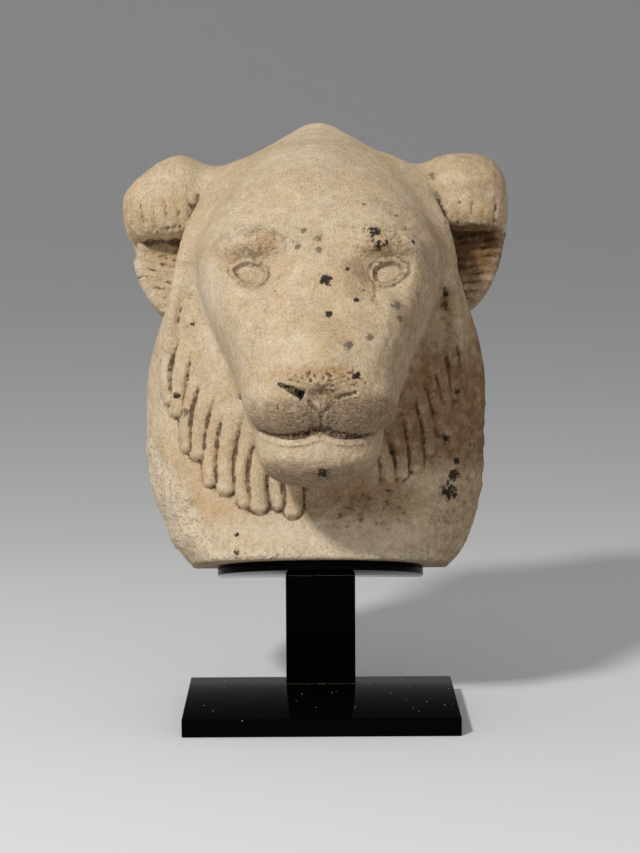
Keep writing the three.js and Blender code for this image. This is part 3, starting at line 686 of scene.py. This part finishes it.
def colour_masks(points, normals, bend):
    """Where each stain, painted shade and painted light lies on the stone, 0 to 1; the material breaks up its
    edges with noise
    """
    x, front, height = points.T
    side = np.abs(x)
    margins = rough_margins(points)
    patchy = 0.5 + 0.5 * stone_noise(points, PATCHY_SIZE, 3, 5)
    ragged = 0.8 * stone_noise(points, RAGGED_SIZE, 3, 6)
    face = ramp(55, 75, front)
    mouth = mouth_distance(x, front, height)
    round_eyes = (np.hypot(side - EYE_SIDE, height - EYE_HEIGHT) < 10) & (front > 70)
    lobe_foot = ramp(40, 48, side) * bump(height, 122, 9)
    pads = blob(points, 0, 42, 34, 13, 92) * ramp(0.3, -0.7, mouth) * ramp(50.5, 47, height)
    # Painted shade on what faces down on the lower face
    shaded_underside = ramp(0.15, 0.9, -normals[:, 2]) * face * ramp(70, 50, height)
    below_lip = ramp(-0.8, 0.8, mouth) * face * ramp(24, 30, height)
    # Where the painted crease shade is lifted: below the lip, on the margins, on the left brow and at the
    # lip's middle
    crease_shade_lifted = 0.8 * below_lip + 0.6 * margins + 0.5 * blob(points, -21, 102, 14, 9, 60)
    crease_shade_lifted += 0.6 * blob(points, 0.5, 46, 5, 5, 90)
    crease_shade_lifted = np.clip(crease_shade_lifted, 0, 0.8)
    # Brown patina, and painted shade on the side turned from the lamp
    brown_patina_and_shade = patina_and_painted_shade_mask(points, normals, patchy, face)
    # Pale wear, and the painted light of the pale patches
    pale = np.maximum.reduce([
        patches(points, "pale"), margins * np.where(x > 40, 0.4, 0.95), 0.55 * (1 - patchy)])
    # Painted shade: the open nostril's hole is painted black
    open_nostril = nostril(x, height) * (front > 90) * (x > -12)
    return {
        "stain": np.maximum.reduce([
            patches(points, "stain"), 0.5 * lobe_foot, 0.25 * lock_relief(x, height) / LOCK_PROUD_LEFT,
            0.55 * patchy]),
        "brown_patina_and_shade": brown_patina_and_shade,
        "pale": pale * (1 - 0.75 * np.minimum(brown_patina_and_shade, 1)),
        # Grime on the whisker pads, made darker to the right as painted shade, and painted shade on the
        # undersides
        "grime_and_shade": np.maximum((0.74 + 0.012 * x) * pads, 0.7 * shaded_underside),
        "rust": patches(points, "rust"),
        "pitted": np.maximum.reduce([patches(points, "pitted"), 0.8 * margins, 0.25 * patchy]),
        # Painted shade: darker where the surface curves in, less so round the eyes
        "crease": ramp(0.08, 0.7, bend) * np.where(round_eyes, 0.42, 1) * (1 - crease_shade_lifted),
        "worn": ramp(0.1, 0.7, -bend) * np.where(round_eyes, 0.2, 1),
        "fleck": 0.25 + 0.25 * face + 0.1 * patchy,
        "black_spot_and_nostril_shade": np.maximum(spot_mask(points, BLACK_SPOTS, ragged), 1.9 * open_nostril),
        "grey_spot": spot_mask(points, GREY_SPOTS, ragged),
    }


def stained_stone(tree, place, dark, light):
    """The stone's colour: mottled between dark and light, with each layer of stain, painted shade and painted
    light over it
    """
    mottle = add_node(tree, "TexNoise", {
        "Vector": place, "Scale": 1 / MOTTLE, "Detail": 8.0, "Roughness": 0.65})
    grain = add_node(tree, "TexNoise", {
        "Vector": place, "Scale": 1 / GRAIN, "Detail": 4.0, "Roughness": 0.8})
    both = add_node(tree, "Math", {
        0: grain.outputs["Fac"], 1: GRAIN_SHARE, 2: mottle.outputs["Fac"]}, operation="MULTIPLY_ADD")
    share = add_node(tree, "MapRange", {
        "Value": both.outputs[0], "From Min": TONE_LOW, "From Max": TONE_HIGH})
    tone = add_node(tree, "Mix", {0: share.outputs[0], 6: dark, 7: light}, data_type="RGBA").outputs[2]
    for mask, colour, size, low, high, strength in STONE_LAYERS:
        where = add_node(tree, "Attribute", attribute_name=mask)
        grain = add_node(tree, "TexNoise", {
            "Vector": place, "Scale": 1 / (size * MM), "Detail": 6.0, "Roughness": 0.7})
        both = add_node(tree, "Math", {
            0: grain.outputs["Fac"], 1: STAIN_BREAK_UP, 2: where.outputs["Fac"]}, operation="MULTIPLY_ADD")
        share = add_node(tree, "MapRange", {
            "Value": both.outputs[0], "From Min": low, "From Max": high, "To Max": strength})
        tone = add_node(tree, "Mix", {
            0: share.outputs[0], 6: tone, 7: linear(colour)}, data_type="RGBA").outputs[2]
    return tone


def gritty_surface(tree, place):
    """The stone's fine relief: sand, pits where the stone is eroded, tool strokes on the grimy whisker pads
    and on the undersides that carry painted shade
    """
    sand = add_node(tree, "TexNoise", {"Vector": place, "Scale": 1 / SAND, "Detail": 5.0, "Roughness": 0.7})
    grit = add_node(tree, "Bump", {"Height": sand.outputs["Fac"], "Distance": SAND_DEPTH})
    pitted = add_node(tree, "Attribute", attribute_name="pitted")
    cells = add_node(tree, "TexVoronoi", {"Vector": place, "Scale": 1 / PIT_SPACING})
    pit = add_node(tree, "MapRange", {"Value": cells.outputs["Distance"], "From Min": 0.1, "From Max": 0.5})
    depth = add_node(tree, "Math", {0: pit.outputs[0], 1: pitted.outputs["Fac"]}, operation="MULTIPLY")
    pits = add_node(tree, "Bump", {
        "Height": depth.outputs[0], "Distance": PIT_DEPTH, "Strength": 0.9, "Normal": grit.outputs[0]})
    grime_and_shade = add_node(tree, "Attribute", attribute_name="grime_and_shade")
    stretched = add_node(tree, "VectorMath", {0: place, 1: STROKE_STRETCH}, operation="MULTIPLY")
    strokes = add_node(tree, "TexNoise", {
        "Vector": stretched.outputs[0], "Scale": 1 / STROKE, "Detail": 4.0})
    scratch = add_node(tree, "Math", {
        0: strokes.outputs["Fac"], 1: grime_and_shade.outputs["Fac"]}, operation="MULTIPLY")
    scratches = add_node(tree, "Bump", {
        "Height": scratch.outputs[0], "Distance": STROKE_DEPTH, "Normal": pits.outputs[0]})
    return scratches.outputs[0]


def limestone(dark, light):
    """Limestone, chiselled and long worn: matt, warm, stained with iron, pitted, with dark mineral spots, with
    painted shade in its hollows, undersides and on its right side, and painted light on its crown and lower
    rim
    """
    material, tree, shader = new_material("limestone_chiselled_worn")
    shader.inputs["Roughness"].default_value = STONE_ROUGHNESS
    shader.inputs["Specular IOR Level"].default_value = STONE_SPECULAR
    place = add_node(tree, "TexCoord").outputs["Object"]
    tree.links.new(stained_stone(tree, place, dark, light), shader.inputs["Base Color"])
    tree.links.new(gritty_surface(tree, place), shader.inputs["Normal"])
    return material


def shade_smooth(mesh):
    mesh.polygons.foreach_set("use_smooth", [True] * len(mesh.polygons))
    mesh.update()


def merged_copy(node):
    """A copy of a CAD node's mesh, with its loose triangles joined at their corners"""
    mesh = node.data.copy()
    shape = bmesh.new()
    shape.from_mesh(mesh)
    bmesh.ops.remove_doubles(shape, verts=shape.verts, dist=MERGE_DISTANCE)
    shape.to_mesh(mesh)
    shape.free()
    return mesh


def even_mesh(context, mesh, voxel):
    """The same body as a mesh of even squares"""
    body = add_object(context, "limestone_body", mesh)
    remesh = body.modifiers.new("even mesh", "REMESH")
    remesh.mode = "VOXEL"
    remesh.voxel_size = voxel
    shaped = bpy.data.meshes.new_from_object(body.evaluated_get(context.evaluated_depsgraph_get()))
    bpy.data.objects.remove(body)
    return shaped


def wear_down(points, normals, wear):
    """Worn and broken points; the underside stays flat on its plate"""
    flat_underside = ramp(0.2, 1.5, points[:, 2])
    worn = points + normals * (carved_roughness(points) * wear * flat_underside)[:, None]
    worn[:, 2] = np.maximum(worn[:, 2], 0)
    return worn


class LION_OT_stone(bpy.types.Operator):
    """Carve the lion head: a fine mesh of the solid, moved onto the carved form and worn"""
    bl_idname = "lion.stone"
    bl_label = "Carve the stone"

    def execute(self, context):
        settings = context.scene.lion_stone
        mesh = even_mesh(context, merged_copy(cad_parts["lion_head"]), settings.voxel)
        set_stone_points(mesh, onto_form(stone_points(mesh), ROUNDS, COARSE_STEP))
        refine(mesh, fine_zone)
        refine(mesh, finest_zone)
        points = onto_form(stone_points(mesh), ROUNDS, FINE_STEP)
        normals = form_gradient(points)
        normals = normals / np.maximum(np.linalg.norm(normals, axis=1, keepdims=True), 0.2)
        set_stone_points(mesh, wear_down(points, normals, settings.wear))
        shade_smooth(mesh)
        points = stone_points(mesh)
        for name, values in colour_masks(points, normals, hollowness(mesh, points, normals)).items():
            mesh.attributes.new(name, "FLOAT", "POINT").data.foreach_set("value", values)
        mesh.materials.clear()
        mesh.materials.append(limestone(tuple(settings.dark), tuple(settings.light)))
        stone = add_object(context, "carved_lion_head", mesh)
        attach(stone, "root")
        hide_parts("lion_head")
        return {"FINISHED"}


def acrylic(name, colour, gloss):
    """Cast acrylic sheet, black and polished; gloss is how strongly it mirrors"""
    material, _, shader = new_material(name)
    shader.inputs["Base Color"].default_value = colour
    shader.inputs["Roughness"].default_value = ACRYLIC_ROUGHNESS
    shader.inputs["IOR"].default_value = ACRYLIC_IOR
    shader.inputs["Specular IOR Level"].default_value = gloss
    return material


def dust_specks(tree, place):
    """1 inside small round specks, one in each picked cell"""
    cells = add_node(tree, "TexVoronoi", {"Vector": place, "Scale": 1 / SPECK_SPACING})
    small = add_node(tree, "Math", {0: cells.outputs["Distance"], 1: SPECK_SIZE}, operation="LESS_THAN")
    pick = add_node(tree, "SeparateColor", {0: cells.outputs["Color"]})
    few = add_node(tree, "Math", {0: pick.outputs[0], 1: SPECK_SHARE}, operation="LESS_THAN")
    speck = add_node(tree, "Math", {0: small.outputs[0], 1: few.outputs[0]}, operation="MULTIPLY")
    return speck.outputs[0]


def glue_line(tree, place):
    """1 along a broken line at the front of the post's foot"""
    parts = add_node(tree, "SeparateXYZ", {0: place})
    across = add_node(tree, "Math", {0: parts.outputs["X"], 1: 0.0, 2: POST_HIGH.x}, operation="COMPARE")
    foot = add_node(tree, "Math", {
        0: parts.outputs["Y"], 1: POST_LOW.y, 2: GLUE_REACH}, operation="COMPARE")
    dashes = add_node(tree, "TexNoise", {"Vector": place, "Scale": 1 / GLUE_DASH, "Detail": 3.0})
    broken = add_node(tree, "Math", {0: dashes.outputs["Fac"], 1: GLUE_BREAKS}, operation="GREATER_THAN")
    line = add_node(tree, "Math", {0: across.outputs[0], 1: foot.outputs[0]}, operation="MULTIPLY")
    glue = add_node(tree, "Math", {0: line.outputs[0], 1: broken.outputs[0]}, operation="MULTIPLY")
    return glue.outputs[0]


def dusty_acrylic(colour, gloss):
    """The base's black acrylic, with white dust and a broken line of old glue at the post's foot"""
    material = acrylic("cast_acrylic_black_dusty", colour, gloss)
    tree = material.node_tree
    place = add_node(tree, "TexCoord").outputs["Object"]
    dusted = add_node(tree, "Mix", {
        0: dust_specks(tree, place), 6: colour, 7: linear(DUST_COLOUR)}, data_type="RGBA")
    tone = add_node(tree, "Mix", {
        0: glue_line(tree, place), 6: dusted.outputs[2], 7: linear(GLUE_COLOUR)}, data_type="RGBA")
    tree.links.new(tone.outputs[2], tree.nodes["Principled BSDF"].inputs["Base Color"])
    return material


def block(low, high):
    """A box between two corners"""
    shape = bmesh.new()
    place = Matrix.Translation((low + high) / 2) @ Matrix.Diagonal((*(high - low), 1))
    bmesh.ops.create_cube(shape, size=1, matrix=place)
    return shape


def round_edges(shape, width):
    sharp = [e for e in shape.edges if e.calc_face_angle(0) > SHARP_ANGLE]
    bmesh.ops.bevel(shape, geom=sharp, offset=width, segments=3, profile=0.5, affect="EDGES", material=-1)


def verts_in(geometry):
    return [v for v in geometry if isinstance(v, bmesh.types.BMVert)]


def edges_in(geometry):
    return [e for e in geometry if isinstance(e, bmesh.types.BMEdge)]


def cut_off(shape, corner, normal):
    """Cut away what lies beyond a plane; returns the cut's edges"""
    everything = shape.verts[:] + shape.edges[:] + shape.faces[:]
    cut = bmesh.ops.bisect_plane(shape, geom=everything, plane_co=corner, plane_no=normal, clear_outer=True)
    return edges_in(cut["geom_cut"])


def post_shape():
    """The post, its top cut to the plate's slope. The glue fills all but a hair of the gaps at both ends"""
    glued = Vector((0, 0, JOINT_GAP - GLUE_HAIR))
    shape = block(POST_LOW - glued, POST_HIGH + glued)
    corner = Vector((0, POST_LOW.y, POST_HIGH.z)) + glued
    bmesh.ops.edgeloop_fill(shape, edges=cut_off(shape, corner, SLOPE @ Vector((0, 0, 1))))
    return shape


def plate_shape():
    """The plate on the slope: half a disc towards the viewer, with a short straight stretch behind it"""
    shape = bmesh.new()
    middle = Vector((0, PLATE_BACK - PLATE_STRAIGHT, JOINT_GAP))
    bmesh.ops.create_circle(
        shape, cap_ends=True, radius=PLATE_RADIUS, segments=PLATE_SEGMENTS,
        matrix=Matrix.Translation(middle))
    straight = bmesh.ops.extrude_edge_only(shape, edges=cut_off(shape, middle, (0, 1, 0)))["geom"]
    bmesh.ops.translate(shape, verts=verts_in(straight), vec=(0, PLATE_STRAIGHT, 0))
    raised = bmesh.ops.extrude_face_region(shape, geom=shape.faces[:])["geom"]
    bmesh.ops.translate(shape, verts=verts_in(raised), vec=(0, 0, PLATE_THICKNESS))
    bmesh.ops.transform(shape, matrix=Matrix.Translation(SLOPE_FOOT) @ SLOPE, verts=shape.verts)
    return shape


def shape_mesh(name, shape, material):
    """A smooth mesh of a material, from its shape"""
    mesh = bpy.data.meshes.new(name)
    shape.to_mesh(mesh)
    shape.free()
    shade_smooth(mesh)
    mesh.materials.append(material)
    return mesh


def stand_piece(context, name, shape, edge, material):
    """A finished piece of the stand from its shape"""
    bmesh.ops.recalc_face_normals(shape, faces=shape.faces)
    round_edges(shape, edge)
    mesh = shape_mesh(name, shape, material)
    mesh.set_sharp_from_angle(angle=SHARP_ANGLE)
    piece = add_object(context, name, mesh)
    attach(piece, "root")
    return piece


class LION_OT_stand(bpy.types.Operator):
    """Build the stand's base, post and plate in black acrylic"""
    bl_idname = "lion.stand"
    bl_label = "Build the stand"

    def execute(self, context):
        settings = context.scene.lion_stand
        dusty = dusty_acrylic(tuple(settings.base_colour), BASE_GLOSS)
        base = stand_piece(context, "acrylic_base", block(*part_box("base_plate")), settings.sheet_edge, dusty)
        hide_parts("base_plate")
        dull = acrylic("cast_acrylic_black", tuple(settings.post_colour), POST_GLOSS)
        post = stand_piece(context, "acrylic_post", post_shape(), settings.post_edge, dull)
        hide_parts("post")
        bright = acrylic("cast_acrylic_black_polished", tuple(settings.post_colour), PLATE_GLOSS)
        plate = stand_piece(context, "acrylic_plate", plate_shape(), settings.sheet_edge, bright)
        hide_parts("cradle_plate")
        return {"FINISHED"}


# The photo's view: a 36 mm sensor on the picture's long side, and where the camera stands
SENSOR = 36.0
PICTURE_HEIGHT = 853
FOCAL_PIXELS = 2400
CAMERA_PLACE = Vector((-2.7, -830.6, 197.0)) * MM
CAMERA_DOWN, CAMERA_TURN, CAMERA_ROLL = math.radians(6.5), math.radians(0.19), math.radians(0.29)

# The studio: the key light, and a paper floor that curves up into a wall, all in metres
KEY_PLACE, KEY_AIM, KEY_SIZE = (-0.74, -1.2, 1.13), (0, 0, 0.12), 0.18
PAPER_HALF_WIDTH, PAPER_NEAR_END, PAPER_FAR_END, PAPER_WALL, PAPER_BEND = 3.0, -2.0, 0.4, 1.0, 1.6
PAPER_STEPS = 24
PAPER_ROUGHNESS = 0.9
# Where the paper's painted shade begins and is full, along the back plus the height
PAPER_DARKENS = -0.1, 1.2


def studio_camera(context):
    data = bpy.data.cameras.new("studio_camera")
    data.sensor_fit = "AUTO"
    data.sensor_width = SENSOR
    data.lens = SENSOR * FOCAL_PIXELS / PICTURE_HEIGHT
    camera = add_object(context, "studio_camera", data)
    turn = Matrix.Rotation(-CAMERA_TURN, 4, "Z") @ Matrix.Rotation(math.radians(90) - CAMERA_DOWN, 4, "X")
    camera.matrix_world = Matrix.Translation(CAMERA_PLACE) @ turn @ Matrix.Rotation(-CAMERA_ROLL, 4, "Z")
    context.scene.camera = camera


def key_light(context, power):
    """A round soft light, high on the left"""
    data = bpy.data.lights.new("key", "AREA")
    data.shape = "DISK"
    data.size = KEY_SIZE
    data.energy = power
    light = add_object(context, "key", data)
    light.location = KEY_PLACE
    light.rotation_euler = (Vector(KEY_AIM) - Vector(KEY_PLACE)).to_track_quat("-Z", "Y").to_euler()


def fill_light(context, strength):
    """Even white light from all around"""
    world = bpy.data.worlds.new("studio")
    world.use_nodes = True
    background = world.node_tree.nodes["Background"]
    background.inputs["Color"].default_value = (1, 1, 1, 1)
    background.inputs["Strength"].default_value = strength
    context.scene.world = world


def sweep_material(near, far):
    """Seamless paper, pale grey, with painted shade that darkens it towards the back and up the wall"""
    material, tree, shader = new_material("seamless_paper_grey")
    shader.inputs["Roughness"].default_value = PAPER_ROUGHNESS
    place = add_node(tree, "TexCoord").outputs["Object"]
    parts = add_node(tree, "SeparateXYZ", {0: place})
    back = add_node(tree, "Math", {0: parts.outputs["Y"], 1: parts.outputs["Z"]}, operation="ADD")
    start, end = PAPER_DARKENS
    share = add_node(tree, "MapRange", {
        "Value": back.outputs[0], "From Min": start, "From Max": end}, interpolation_type="SMOOTHSTEP")
    tone = add_node(tree, "Mix", {0: share.outputs[0], 6: near, 7: far}, data_type="RGBA")
    tree.links.new(tone.outputs[2], shader.inputs["Base Color"])
    return material


def paper_sweep(context, material):
    """A floor that curves up into a backdrop, spun and extruded from one edge"""
    shape = bmesh.new()
    ends = [shape.verts.new((side * PAPER_HALF_WIDTH, PAPER_NEAR_END, 0)) for side in (-1, 1)]
    edge = shape.edges.new(ends)
    run = bmesh.ops.extrude_edge_only(shape, edges=[edge])["geom"]
    moved = verts_in(run)
    bmesh.ops.translate(shape, verts=moved, vec=(0, PAPER_FAR_END - PAPER_NEAR_END, 0))
    last = [e for e in edges_in(run) if all(v in moved for v in e.verts)]
    turned = bmesh.ops.spin(
        shape, geom=moved + last, cent=(0, PAPER_FAR_END, PAPER_BEND), axis=(1, 0, 0),
        angle=math.radians(90), steps=PAPER_STEPS, use_merge=False)["geom_last"]
    wall = bmesh.ops.extrude_edge_only(shape, edges=edges_in(turned))["geom"]
    bmesh.ops.translate(shape, verts=verts_in(wall), vec=(0, 0, PAPER_WALL))
    bmesh.ops.remove_doubles(shape, verts=shape.verts, dist=MERGE_DISTANCE)
    bmesh.ops.recalc_face_normals(shape, faces=shape.faces)
    add_object(context, "paper_sweep", shape_mesh("paper_sweep", shape, material))


class LION_OT_stage(bpy.types.Operator):
    """Set the camera, the pale sweep and the soft studio light"""
    bl_idname = "lion.stage"
    bl_label = "Set the stage"

    def execute(self, context):
        settings = context.scene.lion_stage
        studio_camera(context)
        paper_sweep(context, sweep_material(tuple(settings.paper_near), tuple(settings.paper_far_painted_shade)))
        key_light(context, settings.key_power)
        fill_light(context, settings.fill)
        context.scene.view_settings.view_transform = "Standard"
        return {"FINISHED"}


class StoneSettings(bpy.types.PropertyGroup):
    """Sizes and colours of the carved stone"""
    voxel: FloatProperty(
        name="Mesh size", description="Spacing of the stone's even mesh", default=1.56 * MM, unit="LENGTH")
    wear: FloatProperty(
        name="Wear", description="How deep the wear and breaks go, as a share", default=1.0,
        subtype="FACTOR")
    dark: FloatVectorProperty(
        name="Dark stone", description="Colour of the limestone's dark grains", default=linear("#9a8260"),
        size=4, subtype="COLOR")
    light: FloatVectorProperty(
        name="Light stone", description="Colour of the limestone's light grains", default=linear("#ecd6b8"),
        size=4, subtype="COLOR")


class StandSettings(bpy.types.PropertyGroup):
    """Sizes and colours of the stand"""
    sheet_edge: FloatProperty(
        name="Sheet edge", description="Rounding of the base's and the plate's edges", default=0.4 * MM,
        unit="LENGTH")
    post_edge: FloatProperty(
        name="Post edge", description="Rounding of the post's edges", default=0.1 * MM, unit="LENGTH")
    base_colour: FloatVectorProperty(
        name="Base", description="Colour of the base's acrylic", default=linear("#050506"), size=4,
        subtype="COLOR")
    post_colour: FloatVectorProperty(
        name="Post and plate", description="Colour of the post's and plate's acrylic",
        default=linear("#030303"), size=4, subtype="COLOR")


class StageSettings(bpy.types.PropertyGroup):
    """Light and paper of the stage"""
    key_power: FloatProperty(name="Key", description="Power of the key light", default=24, unit="POWER")
    fill: FloatProperty(name="Fill light", description="Strength of the even light all around", default=0.52)
    paper_near: FloatVectorProperty(
        name="Near paper", description="Colour of the paper on the floor", default=linear("#d6d6d6"), size=4,
        subtype="COLOR")
    # The far paper's colour is painted shade: the near paper darkened as the light falls off
    paper_far_painted_shade: FloatVectorProperty(
        name="Far paper", description="Colour of the paper on the wall", default=linear("#969696"), size=4,
        subtype="COLOR")


class LION_PT_panel(bpy.types.Panel):
    """The pieces and their settings, in the sidebar"""
    bl_idname = "LION_PT_panel"
    bl_label = "Lion head"
    bl_space_type = "VIEW_3D"
    bl_region_type = "UI"
    bl_category = "Lion head"

    def draw(self, context):
        scene = context.scene
        sections = (
            (StageSettings, scene.lion_stage, LION_OT_stage),
            (StoneSettings, scene.lion_stone, LION_OT_stone),
            (StandSettings, scene.lion_stand, LION_OT_stand),
        )
        for group, settings, operator in sections:
            section = self.layout.box()
            for name in group.__annotations__:
                section.prop(settings, name)
            section.operator(operator.bl_idname)


CLASSES = (StoneSettings, StandSettings, StageSettings, LION_OT_stone, LION_OT_stand, LION_OT_stage,
           LION_PT_panel)


def register():
    for cls in CLASSES:
        bpy.utils.register_class(cls)
    bpy.types.Scene.lion_stone = PointerProperty(type=StoneSettings)
    bpy.types.Scene.lion_stand = PointerProperty(type=StandSettings)
    bpy.types.Scene.lion_stage = PointerProperty(type=StageSettings)


def unregister():
    del bpy.types.Scene.lion_stage
    del bpy.types.Scene.lion_stand
    del bpy.types.Scene.lion_stone
    for cls in reversed(CLASSES):
        bpy.utils.unregister_class(cls)


def main():
    register()
    bpy.ops.lion.stage()
    bpy.ops.lion.stone()
    bpy.ops.lion.stand()


if __name__ == "__main__":
    main()
